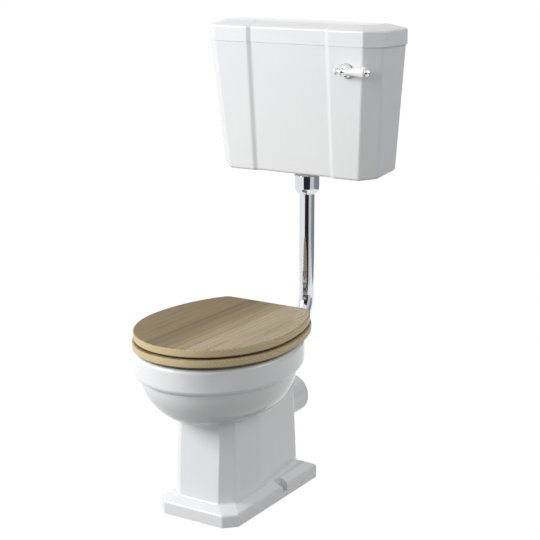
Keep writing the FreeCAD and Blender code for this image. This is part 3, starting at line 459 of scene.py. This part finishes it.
def seen_white(tree):
    """A factor of 1 where a thing is seen straight, in a polished surface or through a clear one."""
    ray = add(tree, "ShaderNodeLightPath")
    straight = add(tree, "ShaderNodeMath", {0: ray.outputs["Is Camera Ray"],
                                            1: ray.outputs["Is Glossy Ray"]}, operation="ADD")
    through = add(tree, "ShaderNodeMath", {0: straight.outputs[0], 1: ray.outputs["Is Transmission Ray"]},
                  operation="ADD", use_clamp=True)
    return through.outputs[0]


# The surround looks white, but it lights the object less, and least from overhead.
level_strength = 0.72
overhead_strength = 0.26
surround = bpy.data.worlds.new("white_surround")
scene.world = surround
surround.use_nodes = True
tree = surround.node_tree
tree.nodes.clear()
height = add(tree, "ShaderNodeSeparateXYZ", {0: add(tree, "ShaderNodeTexCoord").outputs["Generated"]})
dimming = add(tree, "ShaderNodeMapRange", {"Value": height.outputs["Z"], "To Min": level_strength,
                                           "To Max": overhead_strength})
soft = add(tree, "ShaderNodeBackground", {"Color": linear("#FFFFFF"), "Strength": dimming.outputs[0]})
white = add(tree, "ShaderNodeBackground", {"Color": linear("#FFFFFF"), "Strength": 1.0})
mixed = add(tree, "ShaderNodeMixShader", {0: seen_white(tree), 1: soft.outputs[0], 2: white.outputs[0]})
add(tree, "ShaderNodeOutputWorld", {0: mixed.outputs[0]})


def stage_sheet(name, half_width, half_height, finish):
    """A flat sheet for the studio, centred on the origin and facing up."""
    sheet = bmesh.new()
    bmesh.ops.create_grid(sheet, x_segments=1, y_segments=1, size=1.0)
    bmesh.ops.scale(sheet, vec=(half_width, half_height, 1), verts=sheet.verts)
    mesh = bpy.data.meshes.new(name)
    sheet.to_mesh(mesh)
    sheet.free()
    mesh.materials.append(finish)
    obj = bpy.data.objects.new(name, mesh)
    scene.collection.objects.link(obj)
    return obj


# White paper: to the object it is a matt mid grey. Seen, it is mostly an even white glow, and the grey
# that is left keeps the shadow.
floor_half = 15.0
glow_share = 0.84
glow_strength = 1.18
white_paper, tree, shader = start_material("white_paper", Base_Color=linear("#808080"), Roughness=0.9,
                                           Specular_IOR_Level=0.0)
share = add(tree, "ShaderNodeMath", {0: seen_white(tree), 1: glow_share}, operation="MULTIPLY")
glow = add(tree, "ShaderNodeEmission", {"Color": linear("#FFFFFF"), "Strength": glow_strength})
mixed = add(tree, "ShaderNodeMixShader", {0: share.outputs[0], 1: shader.outputs[0], 2: glow.outputs[0]})
tree.links.new(mixed.outputs[0], tree.nodes["Material Output"].inputs["Surface"])
stage_sheet("floor", floor_half, floor_half, white_paper)


# Reflector card: one flat tone that looks the same from everywhere.
def reflector(name, tone, half_width, angle, distance, half_height=0.65):
    """A card that stands on the floor, at an angle from straight ahead as seen from the pipe."""
    finish = start_material(name, Base_Color=linear("#000000"), Roughness=1.0, Specular_IOR_Level=0.0,
                            Emission_Color=linear(tone), Emission_Strength=1.0)[0]
    card = stage_sheet(name, half_width, half_height, finish)
    turn = math.radians(angle)
    card.location = (distance * math.sin(turn), pipe_y / 1000 - distance * math.cos(turn), half_height)
    card.rotation_euler = (math.radians(90), 0, turn)
    card.visible_camera = False
    card.visible_diffuse = False
    card.visible_shadow = False


reflector("dark_card", "#2B2B2E", half_width=0.95, angle=27, distance=1.6)
reflector("pale_card", "#DADADC", half_width=0.66, angle=77, distance=1.8)
reflector("grey_card", "#8E9196", half_width=1.90, angle=144, distance=1.8)
reflector("back_card", "#A2A3A6", half_width=0.90, angle=206, distance=2.0, half_height=0.55)


def soft_box(name, size, power, place):
    """A square lamp aimed at the middle of the object."""
    middle = Vector((0, 0, 0.7))
    lamp = bpy.data.lights.new(name, "AREA")
    lamp.shape = "SQUARE"
    lamp.size = size
    lamp.energy = power
    light = bpy.data.objects.new(name, lamp)
    light.location = place
    light.rotation_euler = (middle - light.location).to_track_quat("-Z", "Y").to_euler()
    scene.collection.objects.link(light)


soft_box("key_light", size=1.4, power=70.0, place=(-1.55, -2.15, 1.95))
soft_box("fill_light", size=1.4, power=14.0, place=(2.2, 1.3, 2.1))

# The camera looks down a little from the object's front right, through a long lens.
lens = bpy.data.cameras.new("camera")
lens.lens = 93.33
lens.sensor_width = 36.0
camera = bpy.data.objects.new("camera", lens)
camera.location = (1.7835, -2.7463, 1.3717)
camera.rotation_euler = (math.radians(76.1), 0, math.radians(32.0))
scene.collection.objects.link(camera)
scene.camera = camera
